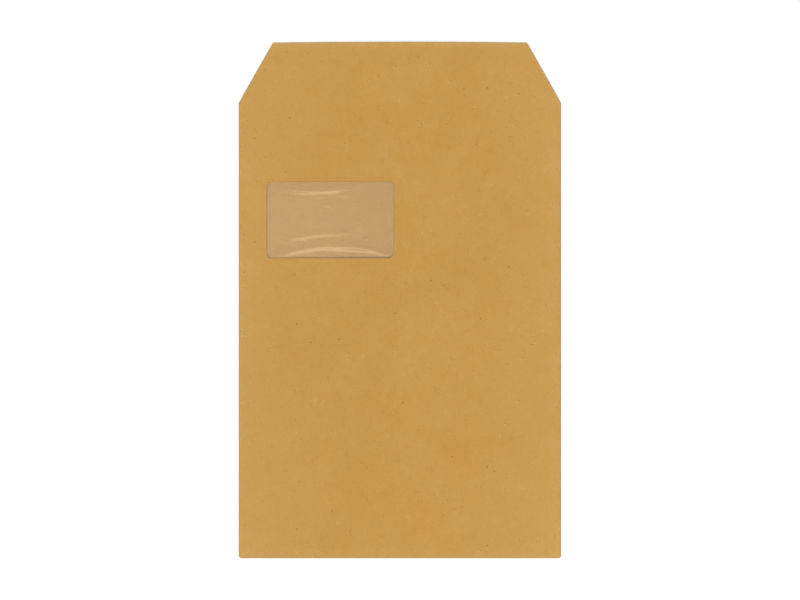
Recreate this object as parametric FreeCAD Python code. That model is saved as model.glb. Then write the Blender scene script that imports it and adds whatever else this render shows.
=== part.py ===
import FreeCAD, Part
import math
import os

# A C4 window pocket envelope of kraft paper, lying on its back with its seal flap open.
# All sizes are in millimetres. X runs across the envelope, +Y towards the flap, +Z up.
# The origin is under the middle of the whole outline, on the surface that it lies on.

# Outline
envelope_width = 229.0
envelope_height = 324.0
flap_depth = 42.0
flap_side_angle = 30.0
flap_corner_radius = 0.8

# Paper, adhesive and film
paper_thickness = 0.12
glue_thickness = 0.04
film_thickness = 0.05
gum_thickness = 0.03

# How far the empty pocket springs open
side_fold_gap = 0.48
crown_rise = 6.5
closing_length = 90.0

# Lap of the two back panels
seam_overlap = 18.0
seam_glue_width = 8.0
seam_glue_end_gap = 6.0
lap_step_run = 2.0
lap_step_clearance = 0.5

# Mouth
throat_depth = 10.0
throat_slant_run = 10.0
throat_corner_radius = 4.0
throat_fold_margin = 0.6

# Bottom flap
bottom_flap_depth = 25.0
bottom_flap_inset = 1.0
bottom_flap_side_angle = 15.0
bottom_flap_corner_radius = 3.0
bottom_corner_relief = 0.6
bottom_glue_margin = 4.0
back_step_clearance = 0.5
back_step_run = 3.0

# Window
window_width = 90.0
window_height = 54.0
window_from_left = 20.0
window_from_bottom = 213.0
window_corner_radius = 3.5
film_margin = 9.0
window_glue_inset = 2.0

# Gum on the seal flap
gum_depth = 12.0
gum_margin = 4.0

# How the curved front is drawn: in strips, so that thin layers lie on it strip by strip
strip_width = 12.0
section_spacing = 12.0
same_place = 1e-6

# Levels above the surface
glued_level = paper_thickness + glue_thickness
edge_level = glued_level + 2 * paper_thickness + side_fold_gap
bottom_fold_radius = edge_level / 2

# Places across and along
half_width = envelope_width / 2
outline_length = envelope_height + flap_depth
bottom_y = -outline_length / 2
crease_y = bottom_y + envelope_height
flap_end_y = crease_y + flap_depth
bottom_fold_y = bottom_y + bottom_fold_radius
sleeve_start_y = bottom_fold_y + bottom_corner_relief
back_step_start_y = bottom_fold_y + bottom_flap_depth + back_step_clearance
back_step_end_y = back_step_start_y + back_step_run
full_crown_y = sleeve_start_y + closing_length
throat_y = crease_y - throat_depth
flap_taper = math.tan(math.radians(flap_side_angle))
half_strips = math.ceil(half_width / strip_width)
tool_height = 2 * (edge_level + crown_rise)


def point(x, y, z):
    """A place or a direction."""
    return FreeCAD.Vector(x, y, z)


def line(a, b):
    """A straight edge from one place to another."""
    return Part.LineSegment(a, b).toShape()


def fold_place(level):
    """Outer radius of a side fold over a back panel at a level, and its centre's x and z."""
    radius = (edge_level - level) / 2
    return radius, half_width - radius, level + radius


def crown_arc(rise, level):
    """Outer radius of the front's arc, its centre's z, and its half angle to the side folds."""
    fold_radius, fold_x, fold_z = fold_place(level)
    crown_z = edge_level + rise
    radius = (fold_x ** 2 + (crown_z - fold_z) ** 2 - fold_radius ** 2) / (2 * rise)
    centre_z = crown_z - radius
    return radius, centre_z, math.atan(fold_x / (fold_z - centre_z))


def strip_shares(share_low, share_high):
    """Where the strips of the front end, between two shares of its half width, ends included."""
    inner = [i / half_strips for i in range(-half_strips, half_strips + 1)]
    inner = [share for share in inner if share_low + same_place < share < share_high - same_place]
    return [share_low] + inner + [share_high]


def crown_points(y, rise, level, depth, shares):
    """Places at shares of the front's half width, and between them, at a depth under its face."""
    if rise == 0:
        fold_x = fold_place(level)[1]
        return [point(share * fold_x, y, edge_level - depth) for share in shares]
    radius, centre_z, half_angle = crown_arc(rise, level)
    reach = radius - depth
    places = []
    for share in shares:
        angle = share * half_angle
        places.append(point(reach * math.sin(angle), y, centre_z + reach * math.cos(angle)))
    return places


def crown_edges(y, rise, level, depth, share_low=-1, share_high=1):
    """The front across the envelope, one edge for each strip, at a depth under its upper face."""
    shares = strip_shares(share_low, share_high)
    middles = [(a + b) / 2 for a, b in zip(shares, shares[1:])]
    ends = crown_points(y, rise, level, depth, shares)
    if rise == 0:
        return chain(ends)
    tops = crown_points(y, rise, level, depth, middles)
    return [Part.Arc(a, top, b).toShape() for a, top, b in zip(ends, tops, ends[1:])]


def side_fold(y, rise, level, depth, side):
    """One face of a side fold, from the back panel round to the front."""
    radius, centre_x, centre_z = fold_place(level)
    centre = point(side * centre_x, y, centre_z)
    lean = crown_arc(rise, level)[2] if rise > 0 else 0
    end_turn = math.pi / 2 - lean

    def at(turn):
        reach = radius - depth
        return centre + point(side * reach * math.cos(turn), 0, reach * math.sin(turn))

    return Part.Arc(at(-math.pi / 2), at(-lean / 2), at(end_turn)).toShape()


def chain(points):
    """Straight edges from each place to the next."""
    return [line(a, b) for a, b in zip(points, points[1:])]


def sleeve_section(y, rise, level):
    """The closed outline of the paper across the pocket: front, side folds and lapped back."""
    centre_x = fold_place(level)[1]
    high = level + paper_thickness
    lap_low = level + glued_level
    lap_high = lap_low + paper_thickness
    lap = seam_overlap / 2
    step_end_x = -lap - lap_step_clearance
    step_start_x = step_end_x - lap_step_run
    outer_panel = chain([
        point(centre_x, y, high),
        point(-lap, y, high),
        point(-lap, y, level),
        point(centre_x, y, level),
    ])
    inner_panel = chain([
        point(-centre_x, y, level),
        point(step_start_x, y, level),
        point(step_end_x, y, lap_low),
        point(lap, y, lap_low),
        point(lap, y, lap_high),
        point(step_end_x, y, lap_high),
        point(step_start_x, y, high),
        point(-centre_x, y, high),
    ])
    edges = outer_panel + inner_panel
    for depth in (0, paper_thickness):
        edges.append(side_fold(y, rise, level, depth, 1))
        edges += crown_edges(y, rise, level, depth)
        edges.append(side_fold(y, rise, level, depth, -1))
    return Part.Wire(Part.__sortEdges__(edges))


def closing_rise(y):
    """How far the front has risen at a place along the closing length, level at both ends."""
    share = (y - sleeve_start_y) / closing_length
    return crown_rise * share * share * (3 - 2 * share)


def pocket_stretch(y_start, y_end, level_start, level_end):
    """A stretch of the closing end, with the back panels' level at its two ends."""
    spans = math.ceil((y_end - y_start) / section_spacing)
    sections = []
    for i in range(spans + 1):
        share = i / spans
        y = y_start + share * (y_end - y_start)
        level = level_start + share * (level_end - level_start)
        sections.append(sleeve_section(y, closing_rise(y), level))
    return Part.makeLoft(sections, True, False)


def pocket_end():
    """Where the front comes down to the bottom fold, and the back steps over the bottom flap."""
    return [
        pocket_stretch(sleeve_start_y, back_step_start_y, glued_level, glued_level),
        pocket_stretch(back_step_start_y, back_step_end_y, glued_level, 0),
        pocket_stretch(back_step_end_y, full_crown_y, 0, 0),
    ]


def pocket_body():
    """The part of the pocket with its full crown, up to the flap's crease."""
    section = Part.Face(sleeve_section(full_crown_y, crown_rise, 0))
    return section.extrude(point(0, crease_y - full_crown_y, 0))


def front_layer(x_low, x_high, y_low, y_high, depth_top, depth_under):
    """A rectangle of a sheet that follows the front, between two depths under its upper face."""
    radius, centre_z, half_angle = crown_arc(crown_rise, 0)
    shares = [math.asin(x / radius) / half_angle for x in (x_low, x_high)]
    edges = []
    ends = []
    for depth in (depth_top, depth_under):
        edges += crown_edges(y_low, crown_rise, 0, depth, *shares)
        ends.append(crown_points(y_low, crown_rise, 0, depth, shares))
    edges += [line(top, under) for top, under in zip(*ends)]
    section = Part.Wire(Part.__sortEdges__(edges))
    return Part.Face(section).extrude(point(0, y_high - y_low, 0))


def upright_edges(solid, places):
    """The vertical edges of a prism that stand at the given places."""
    found = []
    for edge in solid.Edges:
        a = edge.Vertexes[0].Point
        b = edge.Vertexes[-1].Point
        upright = math.hypot(a.x - b.x, a.y - b.y) < same_place
        if upright and any(math.hypot(a.x - x, a.y - y) < same_place for x, y in places):
            found.append(edge)
    return found


def prism(outline, z_low, z_high):
    """An upright prism on an outline of x and y places."""
    points = [point(x, y, z_low) for x, y in outline]
    face = Part.Face(Part.makePolygon(points + points[:1]))
    return face.extrude(point(0, 0, z_high - z_low))


def window_rectangle(margin):
    """The window's low x and y and its high x and y, with a margin round it."""
    x_low = -half_width + window_from_left
    y_low = bottom_y + window_from_bottom
    x_high = x_low + window_width
    y_high = y_low + window_height
    return x_low - margin, y_low - margin, x_high + margin, y_high + margin


def window_block(margin):
    """An upright block of the window's rounded shape, with a margin round it."""
    x_low, y_low, x_high, y_high = window_rectangle(margin)
    corners = [(x_low, y_low), (x_high, y_low), (x_high, y_high), (x_low, y_high)]
    block = prism(corners, edge_level - glued_level, tool_height)
    return block.makeFillet(window_corner_radius + margin, upright_edges(block, corners))


def flap_outline(margin, y_low, y_high):
    """The tapered seal flap between two places along it, taken in by a margin at its sides."""
    side_margin = margin / math.cos(math.radians(flap_side_angle))
    low_x = half_width - (y_low - crease_y) * flap_taper - side_margin
    high_x = half_width - (y_high - crease_y) * flap_taper - side_margin
    return [(-low_x, y_low), (low_x, y_low), (high_x, y_high), (-high_x, y_high)]


def seal_flap():
    """The open flap, which carries on from the front along its crown."""
    outline = flap_outline(0, crease_y, flap_end_y)
    cutter = prism(outline, 0, tool_height)
    cutter = cutter.makeFillet(flap_corner_radius, upright_edges(cutter, outline[2:]))
    radius, centre_z, half_angle = crown_arc(crown_rise, 0)
    end_x = radius * math.sin(half_angle)
    sheet = front_layer(-end_x, end_x, crease_y, flap_end_y, 0, paper_thickness)
    return sheet.common(cutter)


def bottom_flap_outline(margin, y_low, y_high):
    """The tapered bottom flap between two places along it, taken in by a margin at its sides."""
    taper = math.tan(math.radians(bottom_flap_side_angle))
    side_margin = margin / math.cos(math.radians(bottom_flap_side_angle))
    base_x = half_width - bottom_flap_inset - side_margin
    low_x = base_x - (y_low - bottom_fold_y) * taper
    high_x = base_x - (y_high - bottom_fold_y) * taper
    return [(-low_x, y_low), (low_x, y_low), (high_x, y_high), (-high_x, y_high)]


def bottom_flap():
    """The flap that is folded up over the back panels' lower ends."""
    outline = bottom_flap_outline(0, bottom_fold_y, bottom_fold_y + bottom_flap_depth)
    flap = prism(outline, 0, paper_thickness)
    return flap.makeFillet(bottom_flap_corner_radius, upright_edges(flap, outline[2:]))


def bottom_fold():
    """The half round of the bottom fold, and the strip of the front that leads to it."""
    half_base = half_width - bottom_flap_inset
    start = point(-half_base, bottom_fold_y, bottom_fold_radius)
    along = point(1, 0, 0)
    outer = Part.makeCylinder(bottom_fold_radius, 2 * half_base, start, along)
    inner = Part.makeCylinder(bottom_fold_radius - paper_thickness, 2 * half_base, start, along)
    keep_corner = point(-half_base, bottom_y - bottom_fold_radius, -bottom_fold_radius)
    keep = Part.makeBox(2 * half_base, 2 * bottom_fold_radius, 4 * bottom_fold_radius, keep_corner)
    fold = outer.cut(inner).common(keep)
    strip_x = fold_place(glued_level)[1]
    strip_corner = point(-strip_x, bottom_fold_y, edge_level - paper_thickness)
    strip_length = sleeve_start_y - bottom_fold_y
    strip = Part.makeBox(2 * strip_x, strip_length, paper_thickness, strip_corner)
    return [fold, strip]


def throat_cut():
    """What is cut away from the back panels at the mouth, under the front."""
    fold_centre_x, fold_centre_z = fold_place(0)[1:]
    side_x = fold_centre_x - throat_fold_margin
    inner_x = side_x - throat_slant_run
    past_crease_y = crease_y + throat_depth
    outline = [
        (-side_x, past_crease_y),
        (-side_x, crease_y),
        (-inner_x, throat_y),
        (inner_x, throat_y),
        (side_x, crease_y),
        (side_x, past_crease_y),
    ]
    cutter = prism(outline, -paper_thickness, fold_centre_z)
    return cutter.makeFillet(throat_corner_radius, upright_edges(cutter, outline[2:4]))


def envelope_paper():
    """The whole envelope paper, one sheet, folded and with its window cut out."""
    pieces = pocket_end() + bottom_fold() + [bottom_flap(), seal_flap()]
    sheet = pocket_body().fuse(pieces)
    return sheet.cut([throat_cut(), window_block(0)])


def window_glue():
    """The line of adhesive round the window, between the paper and the film."""
    x_low, y_low, x_high, y_high = window_rectangle(film_margin - window_glue_inset)
    layer = front_layer(x_low, x_high, y_low, y_high, paper_thickness, glued_level)
    return layer.cut(window_block(window_glue_inset))


def window_film():
    """The clear film behind the window, glued to the inside of the front."""
    x_low, y_low, x_high, y_high = window_rectangle(film_margin)
    return front_layer(x_low, x_high, y_low, y_high, glued_level, glued_level + film_thickness)


def flap_gum():
    """The dried gum on the inside of the seal flap, to be moistened."""
    y_high = flap_end_y - gum_margin
    y_low = y_high - gum_depth
    outline = flap_outline(gum_margin, y_low, y_high)
    x_high = outline[1][0]
    depth = paper_thickness + gum_thickness
    layer = front_layer(-x_high, x_high, y_low, y_high, paper_thickness, depth)
    return layer.common(prism(outline, 0, tool_height))


def seam_glue():
    """The line of adhesive in the lap of the two back panels."""
    x = -seam_glue_width / 2
    under = [
        (sleeve_start_y + seam_glue_end_gap, glued_level + paper_thickness),
        (back_step_start_y, glued_level + paper_thickness),
        (back_step_end_y, paper_thickness),
        (throat_y - seam_glue_end_gap, paper_thickness),
    ]
    points = [point(x, y, z) for y, z in under]
    points += [point(x, y, z + glue_thickness) for y, z in reversed(under)]
    return Part.Face(Part.makePolygon(points + points[:1])).extrude(point(seam_glue_width, 0, 0))


def bottom_flap_glue():
    """The adhesive between the bottom flap and the back panels."""
    y_low = sleeve_start_y + bottom_glue_margin
    y_high = bottom_fold_y + bottom_flap_depth - bottom_glue_margin
    outline = bottom_flap_outline(bottom_glue_margin, y_low, y_high)
    return prism(outline, paper_thickness, glued_level)


parts = {
    "envelope_paper": envelope_paper(),
    "window_film": window_film(),
    "window_glue": window_glue(),
    "seam_glue": seam_glue(),
    "bottom_flap_glue": bottom_flap_glue(),
    "flap_gum": flap_gum(),
}

os.makedirs("parts", exist_ok=True)
for name, shape in parts.items():
    shape.exportStep("parts/" + name + ".step")
    box = shape.optimalBoundingBox()
    print(name, "solids", len(shape.Solids), "valid", shape.isValid(), "mm3", round(shape.Volume, 2))
    print("  size", round(box.XLength, 3), round(box.YLength, 3), round(box.ZLength, 3))
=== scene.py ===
import math

import bpy
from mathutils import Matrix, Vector, noise


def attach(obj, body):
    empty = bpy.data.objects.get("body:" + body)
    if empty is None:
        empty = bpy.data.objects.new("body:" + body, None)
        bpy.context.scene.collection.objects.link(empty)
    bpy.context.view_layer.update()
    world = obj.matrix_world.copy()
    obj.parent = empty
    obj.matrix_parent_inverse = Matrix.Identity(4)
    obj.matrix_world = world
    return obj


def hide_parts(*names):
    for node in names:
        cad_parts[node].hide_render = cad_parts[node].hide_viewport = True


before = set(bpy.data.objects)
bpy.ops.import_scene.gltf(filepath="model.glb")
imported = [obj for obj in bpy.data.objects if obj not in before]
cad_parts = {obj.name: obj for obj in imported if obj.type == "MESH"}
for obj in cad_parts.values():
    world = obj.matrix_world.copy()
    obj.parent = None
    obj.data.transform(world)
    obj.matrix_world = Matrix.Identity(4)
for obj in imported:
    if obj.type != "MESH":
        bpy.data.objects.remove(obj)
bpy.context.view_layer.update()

# A window envelope of kraft paper that lies on its back with its seal flap open.
# Measures in the dictionaries are millimetres, and the meshes are metres.
# X runs across the envelope, Y towards the seal flap, Z up from the table.

mm = 0.001
tiny = 0.001       # for what is in the same place
closeBy = 0.01     # for the points that a cut joins
onEdge = 0.004     # for the faces that a cut leaves standing

pocket = {
    "halfWidth": 114.5,
    "bottomY": -183.0,
    "creaseY": 141.0,
    "flapEndY": 183.0,
    "paper": 0.12,
    "glue": 0.04,
    "sideGap": 0.48,
    "crown": 6.5,
    "closing": 90.0,
    "cornerRelief": 0.6,
    "bottomFlap": 25.0,
    "backStepGap": 0.5,
    "backStepRun": 3.0,
}

gluedLevel = pocket["paper"] + pocket["glue"]
edgeLevel = gluedLevel + 2 * pocket["paper"] + pocket["sideGap"]
bottomRadius = edgeLevel / 2
bottomFoldY = pocket["bottomY"] + bottomRadius
sleeveStartY = bottomFoldY + pocket["cornerRelief"]
backStepY = bottomFoldY + pocket["bottomFlap"] + pocket["backStepGap"]
backFlatY = backStepY + pocket["backStepRun"]
fullCrownY = sleeveStartY + pocket["closing"]


# The pocket's shape.

def ease(share):
    share = min(max(share, 0.0), 1.0)
    return share * share * (3 - 2 * share)


def backLevel(y):
    # the back lies on the bottom flap, then steps down to the table
    return gluedLevel * (1 - min(max((y - backStepY) / (backFlatY - backStepY), 0), 1))


def crownRise(y):
    return pocket["crown"] * ease((y - sleeveStartY) / pocket["closing"])


def sideFold(y):
    # outer radius of a side fold, and the x and z of its centre
    radius = (edgeLevel - backLevel(y)) / 2
    return radius, pocket["halfWidth"] - radius, backLevel(y) + radius


def frontArch(y):
    # radius of the front across the envelope, its centre's z, and its half angle
    foldRadius, foldX, foldZ = sideFold(y)
    crownZ = edgeLevel + crownRise(y)
    radius = (foldX ** 2 + (crownZ - foldZ) ** 2 - foldRadius ** 2) / (2 * crownRise(y))
    centreZ = crownZ - radius
    return radius, centreZ, math.atan(foldX / (foldZ - centreZ))


fullRadius, fullCentreZ, fullAngle = frontArch(pocket["creaseY"])
neutralRadius = fullRadius - pocket["paper"] / 2


cockle = {
    "height": 0.22,
    "across": 62.0,
    "along": 95.0,
    "seed": 3.1,
    "smallShare": 0.4,
    "smallAcross": 27.0,
    "smallAlong": 41.0,
    "smallSeed": 8.4,
    "sideFade": 14.0,
    "endFade": 40.0,
    "flapLift": 0.35,
    "liftRun": 42.0,
    "liftWave": 33.0,
    "liftShift": 0.7,
    "flapFade": 10.0,
}


def cockleHeight(x, y):
    # the slight waves that paper takes up, none at the folds
    small = Vector((x / cockle["smallAcross"], y / cockle["smallAlong"], cockle["smallSeed"]))
    wave = noise.noise(Vector((x / cockle["across"], y / cockle["along"], cockle["seed"])))
    wave += cockle["smallShare"] * noise.noise(small)
    sides = ease((pocket["halfWidth"] - abs(x)) / cockle["sideFade"])
    foot = ease((y - sleeveStartY) / cockle["endFade"])
    swing = math.sin(x / cockle["liftWave"] + cockle["liftShift"])
    lift = cockle["flapLift"] * ease((y - pocket["creaseY"]) / cockle["liftRun"]) * swing
    if y > pocket["creaseY"]:
        sides = max(sides, ease((y - pocket["creaseY"]) / cockle["flapFade"]))
    return cockle["height"] * wave * sides * foot + lift * sides


def frontPoint(x, y, depth):
    # a place under the upper face of the front, where it has its full crown
    z = fullCentreZ + math.sqrt((fullRadius - depth) ** 2 - x ** 2)
    return Vector((x, y, z + cockleHeight(x, y))) * mm


# Laying out grids and cutting them.

def startClean():
    if bpy.context.object and bpy.context.object.mode != "OBJECT":
        bpy.ops.object.mode_set(mode="OBJECT")
    bpy.ops.object.select_all(action="DESELECT")


def lines(stops, spacing):
    # evenly spaced lines between stops that each keep one
    found = [stops[0]]
    for low, high in zip(stops, stops[1:]):
        count = max(1, math.ceil(abs(high - low) / spacing - tiny))
        found += [low + (high - low) * i / count for i in range(1, count + 1)]
    return found


def flatSheet(name, across, along):
    # a sheet of squares with its lines at the given places
    startClean()
    bpy.ops.mesh.primitive_grid_add(
        x_subdivisions=len(across) - 1, y_subdivisions=len(along) - 1, size=1)
    piece = bpy.context.object
    piece.name = name
    piece.data.name = name
    for vertex in piece.data.vertices:
        column = round((vertex.co.x + 0.5) * (len(across) - 1))
        row = round((vertex.co.y + 0.5) * (len(along) - 1))
        vertex.co = (across[column] * mm, along[row] * mm, 0)
    return piece


def pick(piece, facesWanted=None, pointsWanted=None):
    # selects faces or points by their place, in millimetres
    kind = "FACE" if facesWanted else "VERT"
    bpy.ops.object.mode_set(mode="EDIT")
    bpy.ops.mesh.select_mode(type=kind)
    bpy.ops.mesh.select_all(action="DESELECT")
    bpy.ops.object.mode_set(mode="OBJECT")
    if facesWanted:
        for face in piece.data.polygons:
            face.select = bool(facesWanted(face.center.x / mm, face.center.y / mm))
    if pointsWanted:
        for vertex in piece.data.vertices:
            vertex.select = bool(pointsWanted(vertex.co.x / mm, vertex.co.y / mm))
    bpy.ops.object.mode_set(mode="EDIT")


def removeFaces(piece, wanted):
    pick(piece, facesWanted=wanted)
    bpy.ops.mesh.delete(type="FACE")
    bpy.ops.object.mode_set(mode="OBJECT")


cornerSteps = 6


def cornerLines(radius):
    # how far in from an edge the points of a rounded corner lie
    return [radius * (1 - math.cos(math.pi / 2 * i / cornerSteps)) for i in range(cornerSteps + 1)]


def edgeLines(low, high, radius):
    inner = cornerLines(radius)
    return [low + inset for inset in inner] + [high - inset for inset in reversed(inner)]


def insideHole(hole, x, y):
    # below zero inside a hole with round corners
    across = abs(x - (hole["left"] + hole["right"]) / 2) - (hole["right"] - hole["left"]) / 2
    along = abs(y - (hole["low"] + hole["high"]) / 2) - (hole["high"] - hole["low"]) / 2
    across += hole["radius"]
    along += hole["radius"]
    outside = math.hypot(max(across, 0), max(along, 0))
    return outside + min(max(across, along), 0) - hole["radius"]


def cutHole(piece, hole, toFlat=lambda x: x):
    # joins the points of the round corners across their squares, then takes the inside out
    left, right = toFlat(hole["left"]), toFlat(hole["right"])
    inner = cornerLines(hole["radius"])
    corner = set()
    for i in range(cornerSteps + 1):
        for x in (toFlat(hole["left"] + inner[i]), toFlat(hole["right"] - inner[i])):
            for y in (hole["low"] + inner[-1 - i], hole["high"] - inner[-1 - i]):
                corner.add((round(x, 2), round(y, 2)))
    reach = max(hole["radius"], 1) + closeBy

    def onCorner(x, y):
        fromSides = min(x - left, right - x)
        fromEnds = min(y - hole["low"], hole["high"] - y)
        if not (-closeBy < fromSides <= reach and -closeBy < fromEnds <= reach):
            return False
        return any(abs(x - a) < closeBy and abs(y - b) < closeBy for a, b in corner)

    pick(piece, pointsWanted=onCorner)
    bpy.ops.mesh.vert_connect()
    bpy.ops.object.mode_set(mode="OBJECT")
    flat = {**hole, "left": left, "right": right}
    removeFaces(piece, lambda x, y: insideHole(flat, x, y) < -onEdge)


smoothBelow = math.radians(36)


def thicken(piece, thickness):
    bpy.ops.object.select_all(action="DESELECT")
    piece.select_set(True)
    bpy.context.view_layer.objects.active = piece
    wall = piece.modifiers.new("thickness", "SOLIDIFY")
    wall.thickness = thickness * mm
    wall.offset = -1
    wall.use_even_offset = True
    bpy.ops.object.modifier_apply(modifier=wall.name)
    bpy.ops.object.shade_smooth_by_angle(angle=smoothBelow)


# Shader maths.

class Tone:
    # a node's socket, so that shader maths reads as plain sums
    def __init__(self, tree, socket=None):
        self.tree = tree
        self.socket = socket

    def node(self, kind, settings=None, sockets=None, output=0):
        made = self.tree.nodes.new(kind)
        for name, setting in (settings or {}).items():
            setattr(made, name, setting)
        for name, given in (sockets or {}).items():
            if isinstance(given, Tone):
                self.tree.links.new(given.socket, made.inputs[name])
            else:
                made.inputs[name].default_value = given
        return Tone(self.tree, made.outputs[output]) if made.outputs else made

    def maths(self, operation, first, second=0.0):
        return self.node("ShaderNodeMath", {"operation": operation}, {0: first, 1: second})

    def __add__(self, other):
        return self.maths("ADD", self, other)

    def __sub__(self, other):
        return self.maths("SUBTRACT", self, other)

    def __rsub__(self, other):
        return self.maths("SUBTRACT", other, self)

    def __mul__(self, other):
        return self.maths("MULTIPLY", self, other)

    def __truediv__(self, other):
        return self.maths("DIVIDE", self, other)

    def __pow__(self, other):
        return self.maths("POWER", self, other)

    __radd__ = __add__
    __rmul__ = __mul__


def newFinish(name):
    material = bpy.data.materials.new(name)
    material.use_nodes = True
    material.node_tree.nodes.clear()
    return material, Tone(material.node_tree)


def objectPlace(start):
    return start.node("ShaderNodeTexCoord", output="Object")


def axes(place):
    return [place.node("ShaderNodeSeparateXYZ", {}, {0: place}, output=i) for i in range(3)]


def grain(place, size, detail=2.0, distortion=0.0):
    # soft noise whose features are about size millimetres across, around zero
    found = place.node("ShaderNodeTexNoise", {}, {
        "Vector": place, "Scale": 1 / (size * mm), "Detail": detail, "Distortion": distortion})
    return found - 0.5


def fibres(place, length, width, degrees):
    # the same, drawn out along one direction
    turned = place.node("ShaderNodeMapping", {"vector_type": "TEXTURE"}, {
        "Vector": place,
        "Rotation": (0, 0, math.radians(degrees)),
        "Scale": (length * mm, width * mm, width * mm)})
    found = place.node("ShaderNodeTexNoise", {}, {
        "Vector": turned, "Scale": 1.0, "Detail": 1.0, "Distortion": 0.6})
    return found - 0.5


def clamped(value, low=0.0, high=1.0):
    return value.node("ShaderNodeClamp", {}, {"Value": value, "Min": low, "Max": high})


def step(value, low, high):
    # 0 below low, 1 above high, or the other way round, and smooth between
    return value.node("ShaderNodeMapRange", {"interpolation_type": "SMOOTHSTEP"}, {
        "Value": value, "From Min": low, "From Max": high})


def grains(place, rows):
    # soft noises on top of each other, each given by its size, detail and strength
    return sum(grain(place, size, detail) * strength for size, detail, strength in rows)


def strokes(place, rows):
    # drawn out ones, each given by its length, width, direction and strength
    return sum(fibres(place, *row[:3]) * row[3] for row in rows)


# where a speck fades out and is full, as parts of its radius
dot = {"outer": 1.25, "inner": 0.55, "chanceStep": 0.002}


def specks(place, rows):
    # tiny dots, each kind given by its spacing, radius, share of places and shift
    found = []
    for spacing, radius, share, shift in rows:
        moved = place.node("ShaderNodeMapping", {}, {"Vector": place, "Location": (shift, shift, 0)})
        cells = place.node("ShaderNodeTexVoronoi", {"voronoi_dimensions": "2D"}, {
            "Vector": moved, "Scale": 1 / (spacing * mm)}, output="Distance")
        tint = Tone(place.tree, cells.socket.node.outputs["Color"])
        chance = place.node("ShaderNodeSeparateColor", {}, {0: tint})
        size = radius / spacing
        shape = step(cells, size * dot["outer"], size * dot["inner"])
        found.append(shape * step(chance, 1 - share, 1 - share + dot["chanceStep"]))
    return sum(found)


# how much of a hair's width is full, and how the noise that picks the places differs
hair = {"core": 0.3, "patch": 0.63, "patchStep": 0.05}


def hairs(place, size, width, level, shift):
    # short curved strokes, where two soft noises agree
    moved = place.node("ShaderNodeMapping", {}, {"Vector": place, "Location": (shift, -shift, shift)})
    track = place.maths("ABSOLUTE", grain(moved, size, 1))
    patch = grain(moved, size * hair["patch"], 0)
    return step(track, width, width * hair["core"]) * step(patch, level, level + hair["patchStep"])


def tinted(colour, brightness, fine, balance):
    # a colour made brighter, with a fine change that each channel shows in its own measure
    change = fine.node("ShaderNodeVectorMath", {"operation": "SCALE"}, {0: balance, "Scale": fine})
    factors = fine.node("ShaderNodeVectorMath", {"operation": "ADD"}, {0: change, 1: (1, 1, 1)})
    both = fine.node("ShaderNodeVectorMath", {"operation": "MULTIPLY"}, {0: colour, 1: factors})
    return fine.node("ShaderNodeVectorMath", {"operation": "SCALE"}, {0: both, "Scale": brightness})


def blended(factor, low, high):
    return factor.node("ShaderNodeMix", {"data_type": "RGBA"}, {0: factor, 6: low, 7: high}, output=2)


# Kraft paper.

gumStrip = {
    "low": 167.0,
    "high": 179.0,
    "margin": 4.0,
    "thickness": 0.03,
    "slip": 0.001,
    "square": 1.5,
    "waver": 0.35,
    "waverAcross": 5.0,
    "waverAlong": 50.0,
    "waverSeed": 5.3,
}
windowHole = {"left": -94.5, "right": -4.5, "low": 30.0, "high": 84.0, "radius": 3.5}
windowHalf = ((windowHole["right"] - windowHole["left"]) / 2, (windowHole["high"] - windowHole["low"]) / 2)

kraft = {
    "colour": (0.702, 0.405, 0.0980, 1),
    "redder": (0.710, 0.384, 0.0735, 1),
    "paleAndSheen": (0.806, 0.525, 0.1840, 1),
    "edge": (0.615, 0.455, 0.221, 1),
    "cut": (0.580, 0.345, 0.104, 1),
    "speck": (0.340, 0.155, 0.018, 1),
    "through": (0.92, 0.62, 0.32, 1),
    "throughShare": 0.28,
    "roughness": 0.84,
    "roughnessGrain": 0.10,
    "shine": 0.22,
    # soft noises: size, detail and strength
    "patches": [(90, 3, 0.032), (22, 2, 0.032)],
    "mottles": [(4.5, 3, 0.135), (2.2, 2, 0.0675)],
    "hues": [(40, 2, 0.6), (6, 3, 0.7), (1.8, 2, 0.7)],
    # the finest one: size, detail and distortion
    "fleck": (0.9, 3, 0.4),
    "fleckShare": 0.215,
    # drawn out ones: length, width, direction and strength
    "streaks": [(16, 1.6, 90, 0.03)],
    "strands": [(2.6, 0.16, 14, 1), (2.2, 0.14, 77, 1), (3.0, 0.18, -38, 1)],
    "strandShare": 0.18,
    # specks: spacing, radius, share of places, and shift in metres
    "darkSpecks": [(5.0, 0.56, 0.009, 0.013), (3.0, 0.38, 0.009, 0.0570), (3.0, 0.34, 0.012, 0.2030)],
    "lightSpecksAndGlints": [(7.0, 0.36, 0.010, 0.131), (3.0, 0.42, 0.009, 0.0577), (3.0, 0.38, 0.012, 0.2023)],
    "darkSpeckShare": 0.85,
    "lightSpeckShare": 0.48,
    # hairs: size, width, level and shift in metres
    "darkHairs": (5.0, 0.030, 0.20, 0.31),
    "lightHairs": (5.5, 0.030, 0.20, 0.77),
    "darkHairShare": 0.24,
    "lightHairShare": 0.15,
    # how much of a fine change red, green and blue show
    "balance": (0.42, 0.95, 2.1),
    "pale": 0.15,
    "palings": [(60, 2, 0.30), (15, 2, 0.21)],
    "palingWaver": [(12, 2, 0.9)],
    "sideSheen": 0.38,
    "sideReach": 22.0,
    "endSheen": 0.28,
    "endReach": 3.6,
    "edgeShade": (1.3, 0.4),
    "edgeShadeShare": 0.85,
    "lightBowAlong": 6e-7,
    "lightFallAlong": 7e-5,
    "lightFallAcross": 2.0e-4,
    "gumShade": 0.012,
    "gumReach": (7.0, 5.5),
    "bump": 0.14,
    "bumpDepth": 0.06,
    "fleckRelief": 0.5,
    "strandRelief": 0.35,
    "mottleRelief": 4,
}
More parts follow.
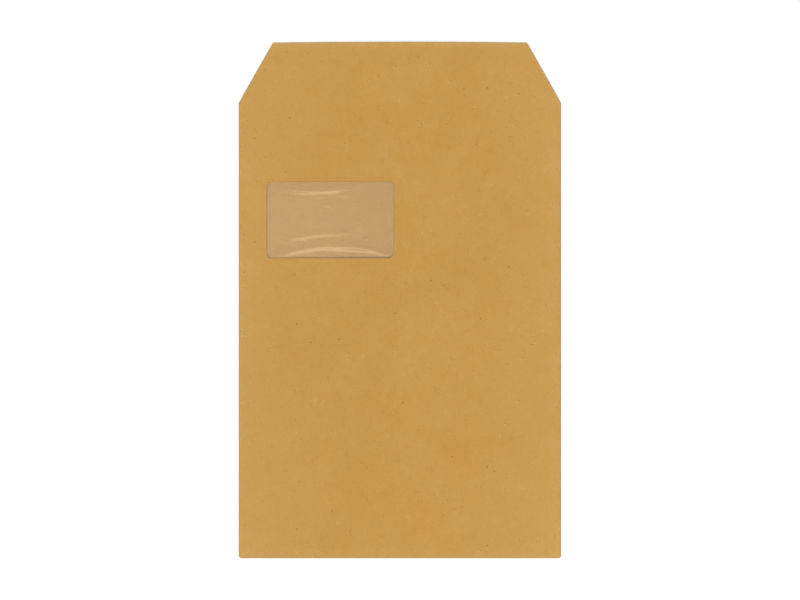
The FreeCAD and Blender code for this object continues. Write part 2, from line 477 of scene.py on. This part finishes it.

# painted shadow lines: on the front round the window's edge, and on the back beside the steps along its
# seams
rimLine = {"width": (1.0, 0.2), "above": (1.0, 1.5), "rise": (0.81, 1.61), "least": 0.10, "more": 0.85}
seamLine = {"width": (0.7, 0.15), "below": (0.22, 0.18), "share": 0.45, "fade": 0.2, "away": 10}


def windowDistance(x, y):
    # how far a place is outside the window's edge, in millimetres
    hole = windowHole
    across = x / mm - (hole["left"] + hole["right"]) / 2
    along = y / mm - (hole["low"] + hole["high"]) / 2
    zero = Tone(x.tree)
    across = zero.maths("ABSOLUTE", across) - (windowHalf[0] - hole["radius"])
    along = zero.maths("ABSOLUTE", along) - (windowHalf[1] - hole["radius"])
    outer = (zero.maths("MAXIMUM", across) ** 2 + zero.maths("MAXIMUM", along) ** 2) ** 0.5
    inner = zero.maths("MINIMUM", zero.maths("MAXIMUM", across, along))
    return outer + inner - hole["radius"]


def seamDistance(x, y):
    # how far a place on the back is from the lap's edge or the bottom flap's edge
    taper = math.radians(sheet["bottomTaper"])
    flapTop = bottomFoldY + pocket["bottomFlap"]
    flapBase = pocket["halfWidth"] - sheet["bottomInset"]
    zero = Tone(x.tree)
    aside = zero.maths("ABSOLUTE", x / mm)
    ends = flapTop - y / mm
    sides = (flapBase - (y / mm - bottomFoldY) * math.tan(taper) - aside) * math.cos(taper)
    fromFlap = zero.maths("ABSOLUTE", zero.maths("MINIMUM", ends, sides))
    # the bottom flap hides the lap's edge where it lies over it
    hidden = step(ends, 0.0, seamLine["fade"]) * seamLine["away"]
    fromLap = zero.maths("ABSOLUTE", x / mm + lapEdge) + hidden
    return zero.maths("MINIMUM", fromFlap, fromLap)


def kraftPaper():
    material, start = newFinish("kraftPaper")
    place = objectPlace(start)
    x, y, z = axes(place)

    mottle = grains(place, kraft["mottles"]) + strokes(place, kraft["streaks"])
    fleck = grain(place, *kraft["fleck"])
    strands = strokes(place, kraft["strands"])
    # most specks have a light place beside them, on one side or the other: a painted highlight, as on the
    # lit side of a raised fleck
    darkSpecks = specks(place, kraft["darkSpecks"])
    lightSpecksAndGlints = specks(place, kraft["lightSpecksAndGlints"])
    darkHairs = hairs(place, *kraft["darkHairs"])
    lightHairs = hairs(place, *kraft["lightHairs"])

    # paler towards the folded sides and the ends: a painted sheen, over paler patches that differ at random
    fromSide = pocket["halfWidth"] - start.maths("ABSOLUTE", x) / mm
    fromEnds = -pocket["bottomY"] - start.maths("ABSOLUTE", y) / mm
    slope = math.radians(sheet["flapTaper"])
    fromSlant = (fromSide - (y / mm - pocket["creaseY"]) * math.tan(slope)) * math.cos(slope)
    fromEdge = start.maths("MINIMUM", start.maths("MINIMUM", fromSide, fromEnds), fromSlant)
    paling = start.maths("EXPONENT", fromSide / -kraft["sideReach"]) * kraft["sideSheen"]
    paling = paling + start.maths("EXPONENT", fromEnds / -kraft["endReach"]) * kraft["endSheen"]
    paling = paling * (1 + grains(place, kraft["palingWaver"])) + kraft["pale"]
    paling = clamped(paling + grains(place, kraft["palings"]))
    # greyer right at the outline: painted shade where the rolled folds turn from the light
    edgeShade = step(fromEdge, *kraft["edgeShade"])

    # painted shadow round the window's edge, strongest along its upper and right edges, where the lamp
    # casts none
    rimShadow = step(start.maths("ABSOLUTE", windowDistance(x, y)), *rimLine["width"])
    rimShadow = rimShadow * step(z / mm, *rimLine["above"])
    upRight = x / mm / windowHalf[0] + y / mm / windowHalf[1]
    rimShadow = rimShadow * (rimLine["least"] + step(upRight, *rimLine["rise"]) * rimLine["more"])
    # painted shadow beside the steps at the lap's edge and the bottom flap's edge
    seamShadow = step(seamDistance(x, y), *seamLine["width"]) * step(z / mm, *seamLine["below"])
    gumMiddle = (gumStrip["low"] + gumStrip["high"]) / 2
    gummed = step(start.maths("ABSOLUTE", y / mm - gumMiddle), *kraft["gumReach"])

    fine = mottle + fleck * kraft["fleckShare"] + strands * kraft["strandShare"]
    # light specks at random, and painted highlights beside the dark specks
    fine = fine + lightSpecksAndGlints * kraft["lightSpeckShare"] + lightHairs * kraft["lightHairShare"]
    dark = darkSpecks * kraft["darkSpeckShare"] + darkHairs * kraft["darkHairShare"]
    # brighter in patches at random; the changes along and across the sheet are painted light, as the light
    # falls over it
    bright = 1 + grains(place, kraft["patches"]) + (y / mm) ** 2 * kraft["lightBowAlong"]
    bright = bright + y / mm * kraft["lightFallAlong"] + x / mm * kraft["lightFallAcross"]
    bright = bright - gummed * kraft["gumShade"]
    colour = blended(clamped(0.5 + grains(place, kraft["hues"])), kraft["colour"], kraft["redder"])
    # painted sheen towards the sides and ends, with paler patches at random
    colour = blended(paling, colour, kraft["paleAndSheen"])
    # painted shade along the outline
    colour = blended(edgeShade * kraft["edgeShadeShare"], colour, kraft["edge"])
    # painted shadow lines round the window and along the seams
    colour = blended(clamped(rimShadow + seamShadow * seamLine["share"]), colour, kraft["cut"])
    colour = blended(clamped(dark), colour, kraft["speck"])
    colour = tinted(colour, bright, fine, kraft["balance"])

    relief = fleck * kraft["fleckRelief"] + strands * kraft["strandRelief"] + mottle * kraft["mottleRelief"]
    normal = start.node("ShaderNodeBump", {}, {
        "Strength": kraft["bump"], "Distance": kraft["bumpDepth"] * mm, "Height": relief})
    shader = start.node("ShaderNodeBsdfPrincipled", {}, {
        "Base Color": colour,
        "Roughness": kraft["roughness"] + fleck * kraft["roughnessGrain"],
        "Specular IOR Level": kraft["shine"],
        "Normal": normal})
    # light comes through the sheet a little, warmer than it went in
    lit = start.node("ShaderNodeBsdfTranslucent", {}, {"Color": kraft["through"]})
    both = start.node("ShaderNodeMixShader", {}, {0: kraft["throughShare"], 1: shader, 2: lit})
    start.node("ShaderNodeOutputMaterial", {}, {"Surface": both})
    return material


# Clear film, glue and gum.

film = {
    "margin": 9.0,
    "thickness": 0.05,
    "squareAcross": 1.5,
    "squareAlong": 0.45,
    "mirror": 0.0007,
    "haze": 0.084,
    "clear": (0.980, 0.986, 0.982, 1),
    "hazeColour": (0.905, 0.78, 0.645, 1),
    "gleam": (1.0, 0.78, 0.50, 1),
    "shine": 0.18,
    "roughness": 0.18,
    "scuffRoughness": 0.06,
    # noises as for the paper
    "grains": [(5.5, 2, 0.6)],
    "folds": [(24, 3.2, 4, 0.6)],
    "scuffs": [(9, 0.25, 31, 1), (7, 0.2, -64, 1)],
    "scuffRelief": 0.05,
    "bump": 0.5,
    "bumpDepth": 0.05,
}


def clearFilm():
    material, start = newFinish("clearFilm")
    place = objectPlace(start)
    wave = grains(place, film["grains"]) + strokes(place, film["folds"])
    scuff = strokes(place, film["scuffs"])
    normal = start.node("ShaderNodeBump", {}, {
        "Strength": film["bump"],
        "Distance": film["bumpDepth"] * mm,
        "Height": wave + scuff * film["scuffRelief"]})
    gloss = start.node("ShaderNodeBsdfPrincipled", {}, {
        "Base Color": film["hazeColour"],
        "Roughness": film["roughness"] + scuff * film["scuffRoughness"],
        "Specular IOR Level": film["shine"],
        "Specular Tint": film["gleam"],
        "Normal": normal})
    mirror = start.node("ShaderNodeBsdfAnisotropic", {}, {
        "Color": film["gleam"], "Roughness": film["roughness"], "Normal": normal})
    through = start.node("ShaderNodeBsdfTransparent", {}, {"Color": film["clear"]})
    hazed = start.node("ShaderNodeMixShader", {}, {0: film["haze"], 1: through, 2: gloss})
    shader = start.node("ShaderNodeMixShader", {}, {0: film["mirror"], 1: hazed, 2: mirror})
    start.node("ShaderNodeOutputMaterial", {}, {"Surface": shader})
    return material


gum = {
    "name": "driedGum",
    "dark": (0.37, 0.190, 0.045, 1),
    "light": (0.45, 0.242, 0.063, 1),
    "contrast": 1.4,
    "grains": [(3.2, 3, 1)],
    "strokes": [(11, 1.2, 0, 1)],
    "roughness": 0.52,
    "roughnessGrain": 0.3,
    "roughnessRange": (0.36, 0.7),
    "shine": 0.28,
    "bump": 0.35,
    "bumpDepth": 0.04,
}

glue = {
    "name": "paleGlue",
    "dark": (0.52, 0.29, 0.085, 1),
    "light": (0.60, 0.37, 0.130, 1),
    "contrast": 1.2,
    "grains": [(2.2, 3, 1)],
    "strokes": [(14, 0.9, 90, 1)],
    "roughness": 0.48,
    "roughnessGrain": 0.3,
    "roughnessRange": (0.3, 0.7),
    "shine": 0.5,
    "bump": 0.3,
    "bumpDepth": 0.03,
}


def driedFilm(look):
    # what has dried in streaks along the way it was rolled on
    material, start = newFinish(look["name"])
    place = objectPlace(start)
    runs = grains(place, look["grains"]) + strokes(place, look["strokes"])
    normal = start.node("ShaderNodeBump", {}, {
        "Strength": look["bump"], "Distance": look["bumpDepth"] * mm, "Height": runs})
    shader = start.node("ShaderNodeBsdfPrincipled", {}, {
        "Base Color": blended(clamped(0.5 + runs * look["contrast"]), look["dark"], look["light"]),
        "Roughness": clamped(look["roughness"] + runs * look["roughnessGrain"], *look["roughnessRange"]),
        "Specular IOR Level": look["shine"],
        "Normal": normal})
    start.node("ShaderNodeOutputMaterial", {}, {"Surface": shader})
    return material


# The envelope's one sheet of paper.

sheet = {
    "lap": 18.0,
    "lapStepGap": 0.5,
    "lapStepRun": 2.0,
    "throatY": 131.0,
    "throatRun": 10.0,
    "throatRadius": 4.0,
    "throatMargin": 0.6,
    "throatNear": 3.0,
    "squeezeFromY": 118.0,
    "flapTaper": 30.0,
    "flapCorner": 0.8,
    "bottomInset": 1.0,
    "bottomTaper": 15.0,
    "bottomCorner": 3.0,
    "square": 3.0,
    "foldParts": 8,
}

frontHalf = neutralRadius * fullAngle
foldTurn = math.pi - fullAngle
foldRadius, foldX = sideFold(pocket["creaseY"])[:2]
foldLength = (foldRadius - pocket["paper"] / 2) * foldTurn
backStart = frontHalf + foldLength
bottomLength = (bottomRadius - pocket["paper"] / 2) * math.pi
bottomEndV = bottomFoldY - bottomLength - pocket["bottomFlap"]
lapEdge = sheet["lap"] / 2


def toFlatX(x):
    # where a place across the front lies on the flat sheet
    return neutralRadius * math.asin(x / fullRadius)


def throatEdge(x):
    # how far up the back panels go at a place across: level, then up a slant of 45 degrees
    sideX = foldX - sheet["throatMargin"]
    inner = sideX - sheet["throatRun"]
    radius = sheet["throatRadius"]
    reach = radius * math.tan(math.radians(45) / 2)
    gap = abs(x) - inner
    if gap <= -reach:
        return sheet["throatY"]
    if gap < reach * math.cos(math.radians(45)):
        return sheet["throatY"] + radius - math.sqrt(radius ** 2 - (gap + reach) ** 2)
    return sheet["throatY"] + min(gap, sheet["throatRun"])


def roundOff(toEnd, radius):
    # how far a flap's side is taken in near its rounded end
    short = min(max(radius - toEnd, 0), radius)
    return radius - math.sqrt(radius ** 2 - short ** 2)


def flapHalf(v):
    # half the width of the flat sheet along its two flaps
    if v > pocket["creaseY"]:
        taper = math.tan(math.radians(sheet["flapTaper"]))
        half = pocket["halfWidth"] - (v - pocket["creaseY"]) * taper
        return min(frontHalf, half - roundOff(pocket["flapEndY"] - v, sheet["flapCorner"]))
    base = pocket["halfWidth"] - sheet["bottomInset"]
    foldEnd = bottomFoldY - bottomLength
    if v >= bottomFoldY:
        share = (v - bottomFoldY) / (sleeveStartY - bottomFoldY)
        return base + share * (sideFold(sleeveStartY)[1] - base)
    if v >= foldEnd:
        return base
    taper = math.tan(math.radians(sheet["bottomTaper"]))
    return base - (foldEnd - v) * taper - roundOff(v - bottomEndV, sheet["bottomCorner"])


def cutBlank():
    # the flat sheet, with its tapered flaps, throat and window
    hole = windowHole
    foldShares = [i / sheet["foldParts"] for i in range(1, sheet["foldParts"])]
    front = [toFlatX(x) for x in edgeLines(hole["left"], hole["right"], hole["radius"])]
    front = lines([-frontHalf] + front + [frontHalf], sheet["square"])
    folds = [frontHalf + foldLength * share for share in foldShares]
    throatX = foldX - sheet["throatMargin"] - sheet["throatRun"]
    stepX = lapEdge + sheet["lapStepGap"]
    stops = [foldX, foldX - sheet["throatMargin"]]
    stops += [throatX + sheet["throatNear"], throatX, throatX - sheet["throatNear"]]
    left = lines(stops + [stepX + sheet["lapStepRun"], stepX, -lapEdge], sheet["square"])
    right = lines(stops + [lapEdge * 2, -lapEdge], sheet["square"])
    across = [x - foldX - backStart for x in reversed(left)] + [-x for x in reversed(folds)]
    across += front + folds + [backStart + foldX - x for x in right]

    foldEnd = bottomFoldY - bottomLength
    along = [bottomEndV + rise for rise in cornerLines(sheet["bottomCorner"])]
    along = lines(along + [foldEnd], sheet["square"])
    along += [bottomFoldY - bottomLength * (1 - share) for share in foldShares] + [bottomFoldY]
    stops = [sleeveStartY, backStepY, backFlatY, fullCrownY]
    stops += edgeLines(hole["low"], hole["high"], hole["radius"])
    stops += [sheet["squeezeFromY"], pocket["creaseY"]]
    stops += [pocket["flapEndY"] - drop for drop in reversed(cornerLines(sheet["flapCorner"]))]
    along += lines(stops, sheet["square"])

    piece = flatSheet("envelopeSheet", across, along)
    removeFaces(piece, lambda x, y: abs(x) > frontHalf and not sleeveStartY < y < pocket["creaseY"])
    cutHole(piece, hole, toFlatX)
    squeezeY = sheet["squeezeFromY"]
    for vertex in piece.data.vertices:
        u, v = vertex.co.x / mm, vertex.co.y / mm
        if abs(u) < frontHalf + tiny and not sleeveStartY - tiny < v < pocket["creaseY"] + tiny:
            u *= flapHalf(v) / frontHalf
        if abs(u) > backStart - tiny and v > squeezeY:
            edge = throatEdge(foldX - (abs(u) - backStart))
            v = squeezeY + (v - squeezeY) * (edge - squeezeY) / (pocket["creaseY"] - squeezeY)
        vertex.co = (u * mm, v * mm, 0)
    return piece


def lapLevel(x):
    # the left panel climbs over the edge of the right one
    near = -lapEdge - sheet["lapStepGap"]
    return gluedLevel * min(max((x - near + sheet["lapStepRun"]) / sheet["lapStepRun"], 0), 1)


def folded(u, v):
    # where a place on the flat sheet goes when the envelope is made up
    side = 1 if u > 0 else -1
    if v < bottomFoldY - bottomLength:
        return Vector((u, bottomFoldY + bottomFoldY - bottomLength - v, 0))
    if v < bottomFoldY:
        turn = math.pi * (bottomFoldY - v) / bottomLength
        y = bottomFoldY - bottomRadius * math.sin(turn)
        return Vector((u, y, bottomRadius * (1 + math.cos(turn))))
    if v < sleeveStartY - tiny:
        return Vector((u, v, edgeLevel))
    if v > pocket["creaseY"] + tiny:
        return frontPoint(fullRadius * math.sin(u / neutralRadius), v, 0) / mm
    if abs(u) < frontHalf + tiny:
        if crownRise(v) < tiny:
            return Vector((u / frontHalf * sideFold(v)[1], v, edgeLevel))
        radius, centreZ, angle = frontArch(v)
        angle *= u / frontHalf
        x = radius * math.sin(angle)
        return Vector((x, v, centreZ + radius * math.cos(angle) + cockleHeight(x, v)))
    radius, centreX, centreZ = sideFold(v)
    if abs(u) < backStart:
        lean = frontArch(v)[2] if crownRise(v) > tiny else 0
        turn = math.pi / 2 - lean - (math.pi - lean) * (abs(u) - frontHalf) / foldLength
        x = side * (centreX + radius * math.cos(turn))
        return Vector((x, v, centreZ + radius * math.sin(turn)))
    x = side * (foldX - (abs(u) - backStart)) * centreX / foldX
    return Vector((x, v, backLevel(v) + (lapLevel(x) if side < 0 else 0)))


def makeSheet():
    piece = cutBlank()
    for vertex in piece.data.vertices:
        vertex.co = folded(vertex.co.x / mm, vertex.co.y / mm) * mm
    thicken(piece, pocket["paper"])
    piece.data.materials.append(kraftFinish)
    return piece


kraftFinish = kraftPaper()
filmFinish = clearFilm()
gumFinish = driedFilm(gum)
glueFinish = driedFilm(glue)
print("finishes made")

envelopeSheet = makeSheet()
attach(envelopeSheet, "root")
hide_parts("envelope_paper")
print("paper folded,", len(envelopeSheet.data.polygons), "faces")


# The film behind the window.

# each ripple: x from and to, y at its start, middle and end, height, and half width
ripples = {
    "rows": [
        (-88, -31, 80.6, 77.4, 81.0, 0.21, 1.25),
        (-90, -60, 79.5, 78.0, 77.0, 0.07, 1.0),
        (-60, -52, 73.6, 73.4, 73.6, 0.07, 0.8),
        (-45, -36, 73.6, 74.6, 75.0, 0.08, 0.9),
        (-54, -48, 67.6, 67.4, 67.6, 0.07, 0.8),
        (-79, -66, 44.2, 44.6, 44.6, 0.11, 1.0),
        (-68, -31, 46.0, 47.2, 48.6, 0.12, 1.2),
        (-60, -22, 41.0, 42.4, 41.0, 0.07, 1.8),
        (-90, -4, 30.6, 38.3, 31.4, 0.22, 1.35),
        (-52, -16, 35.2, 36.8, 35.0, 0.10, 1.0),
        (-31, -26, 50.0, 51.4, 50.6, 0.07, 0.8),
    ],
    "farSide": 1.7,
    "overrun": 0.1,
    "endFade": 0.35,
    "slack": 0.06,
    "slackStart": -2.0,
    "slackRun": 9.0,
    "rimRun": 2.5,
    "uneven": 0.05,
    "unevenAcross": 13.0,
    "unevenAlong": 6.0,
    "unevenSeed": 1.7,
}


def rippleDip(x, y):
    # how far the slack film hangs away from the paper round it
    inside = -insideHole(windowHole, x, y)
    overrun = ripples["overrun"]
    dip = 0
    for left, right, first, middle, last, height, width in ripples["rows"]:
        share = (x - left) / (right - left)
        if not -overrun < share < 1 + overrun:
            continue
        bow = middle - (first + last) / 2
        line = first + (last - first) * share + 4 * bow * share * (1 - share)
        fade = ease(min(share + overrun, 1 + overrun - share) / ripples["endFade"])
        spread = width * (ripples["farSide"] if y > line else 1)
        dip -= height * fade * math.exp(-((y - line) / spread) ** 2 / 2)
    uneven = Vector((x / ripples["unevenAcross"], y / ripples["unevenAlong"], ripples["unevenSeed"]))
    dip += ripples["uneven"] * noise.noise(uneven)
    slack = ease((inside - ripples["slackStart"]) / ripples["slackRun"])
    return slack * ripples["slack"] + ease(inside / ripples["rimRun"]) * dip


def makeFilm():
    hole, margin = windowHole, film["margin"]
    across = [hole["left"] - margin, hole["left"], hole["right"], hole["right"] + margin]
    along = [hole["low"] - margin, hole["low"], hole["high"], hole["high"] + margin]
    across, along = lines(across, film["squareAcross"]), lines(along, film["squareAlong"])
    piece = flatSheet("windowFilm", across, along)
    for vertex in piece.data.vertices:
        x, y = vertex.co.x / mm, vertex.co.y / mm
        vertex.co = frontPoint(x, y, gluedLevel + rippleDip(x, y))
    thicken(piece, film["thickness"])
    piece.data.materials.append(filmFinish)
    return piece


windowFilm = makeFilm()
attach(windowFilm, "root")
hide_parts("window_film")
print("film hung,", len(windowFilm.data.polygons), "faces")


# The glue round the window, and the gum on the flap.

glueFrame = {"reach": 7.0, "inset": 2.0, "slip": 0.002, "square": 3.0}


def makeGlueFrame():
    reach, inset = glueFrame["reach"], glueFrame["inset"]
    hole = {
        "left": windowHole["left"] - inset, "right": windowHole["right"] + inset,
        "low": windowHole["low"] - inset, "high": windowHole["high"] + inset,
        "radius": windowHole["radius"] + inset}
    across = [windowHole["left"] - reach] + edgeLines(hole["left"], hole["right"], hole["radius"])
    along = [windowHole["low"] - reach] + edgeLines(hole["low"], hole["high"], hole["radius"])
    across += [windowHole["right"] + reach]
    along += [windowHole["high"] + reach]
    across, along = lines(across, glueFrame["square"]), lines(along, glueFrame["square"])
    piece = flatSheet("windowGlueFrame", across, along)
    cutHole(piece, hole)
    for vertex in piece.data.vertices:
        x, y = vertex.co.x / mm, vertex.co.y / mm
        vertex.co = frontPoint(x, y, pocket["paper"] + glueFrame["slip"])
    thicken(piece, pocket["glue"] - 2 * glueFrame["slip"])
    piece.data.materials.append(glueFinish)
    return piece


windowGlueFrame = makeGlueFrame()
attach(windowGlueFrame, "root")
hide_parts("window_glue")


def makeGumStrip():
    low, high = gumStrip["low"], gumStrip["high"]
    taper = math.tan(math.radians(sheet["flapTaper"]))
    sideMargin = gumStrip["margin"] / math.cos(math.radians(sheet["flapTaper"]))
    widest = pocket["halfWidth"] - (low - pocket["creaseY"]) * taper - sideMargin
    middle = (low + high) / 2
    half = (high - low) / 2
    across, along = lines([-widest, widest], gumStrip["square"]), lines([low, high], gumStrip["square"])
    piece = flatSheet("flapGumStrip", across, along)
    for vertex in piece.data.vertices:
        x, y = vertex.co.x / mm, vertex.co.y / mm
        # the roller leaves a slightly uneven edge
        uneven = Vector((x / gumStrip["waverAcross"], y / gumStrip["waverAlong"], gumStrip["waverSeed"]))
        waver = gumStrip["waver"] * noise.noise(uneven)
        x *= (widest - (y - low) * taper) / widest
        y += waver * (y - middle) / half
        vertex.co = frontPoint(x, y, pocket["paper"] + gumStrip["slip"])
    thicken(piece, gumStrip["thickness"])
    piece.data.materials.append(gumFinish)
    return piece


flapGumStrip = makeGumStrip()
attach(flapGumStrip, "root")
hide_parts("flap_gum")

for name in ("seam_glue", "bottom_flap_glue"):
    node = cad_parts[name]
    node.data.materials.clear()
    node.data.materials.append(glueFinish)
print("glue and gum laid")


# Table, light and camera.

# metres here, apart from the lens, its sensor and tableDrop
studio = {
    "tableSize": 30,
    "tableDrop": 0.03,
    "tableColour": (0.45, 0.45, 0.45, 1),
    "tableGlow": 0.62,
    "glowRise": (0.4, 2.0),
    "sky": 0.14,
    "lampPower": 107.0,
    "lampSize": (1.1, 0.42),
    "lampPlace": (-0.34, -0.47, 3.47),
    "lens": 100.0,
    "sensor": 36.0,
    "cameraPlace": (0.00007, 0.00043, 1.5785),
}


def seenDirectly(start):
    # 1 for what the camera, a mirror or clear film shows, 0 for what lights paper from behind
    rays = start.node("ShaderNodeLightPath")
    found = [Tone(start.tree, rays.socket.node.outputs[name]) for name in
             ("Is Camera Ray", "Is Glossy Ray", "Is Transmission Ray", "Is Diffuse Ray")]
    return clamped(found[0] + found[1] + found[2] - found[3])


def whiteTable():
    material, start = newFinish("whiteTable")
    x, y, z = axes(objectPlace(start))
    far = step((x * x + y * y) ** 0.5, *studio["glowRise"])
    matte = start.node("ShaderNodeBsdfDiffuse", {}, {"Color": studio["tableColour"]})
    glow = start.node("ShaderNodeEmission", {}, {
        "Color": far * (1 - studio["tableGlow"]) + studio["tableGlow"], "Strength": seenDirectly(start)})
    shader = start.node("ShaderNodeAddShader", {}, {0: matte, 1: glow})
    start.node("ShaderNodeOutputMaterial", {}, {"Surface": shader})
    return material


startClean()
bpy.ops.mesh.primitive_plane_add(size=studio["tableSize"], location=(0, 0, -studio["tableDrop"] * mm))
table = bpy.context.object
table.name = "studioTable"
table.data.materials.append(whiteTable())

world = bpy.data.worlds.new("studioWorld")
bpy.context.scene.world = world
world.use_nodes = True
world.node_tree.nodes.clear()
start = Tone(world.node_tree)
soft = start.node("ShaderNodeBackground", {}, {"Color": (1, 1, 1, 1), "Strength": studio["sky"]})
seen = start.node("ShaderNodeBackground", {}, {"Color": (1, 1, 1, 1), "Strength": 1.0})
both = start.node("ShaderNodeMixShader", {}, {0: seenDirectly(start), 1: soft, 2: seen})
start.node("ShaderNodeOutputWorld", {}, {"Surface": both})

startClean()
bpy.ops.object.light_add(type="AREA", location=studio["lampPlace"])
lamp = bpy.context.object
lamp.name = "softLamp"
lamp.data.shape = "RECTANGLE"
lamp.data.size, lamp.data.size_y = studio["lampSize"]
lamp.data.energy = studio["lampPower"]
lamp.rotation_euler = (-Vector(studio["lampPlace"])).to_track_quat("-Z", "Y").to_euler()

startClean()
bpy.ops.object.camera_add(location=studio["cameraPlace"], rotation=(0, 0, 0))
camera = bpy.context.object
camera.name = "studioCamera"
camera.data.lens = studio["lens"]
camera.data.sensor_width = studio["sensor"]
bpy.context.scene.camera = camera
bpy.context.scene.view_settings.view_transform = "Standard"
print("table, light and camera set")
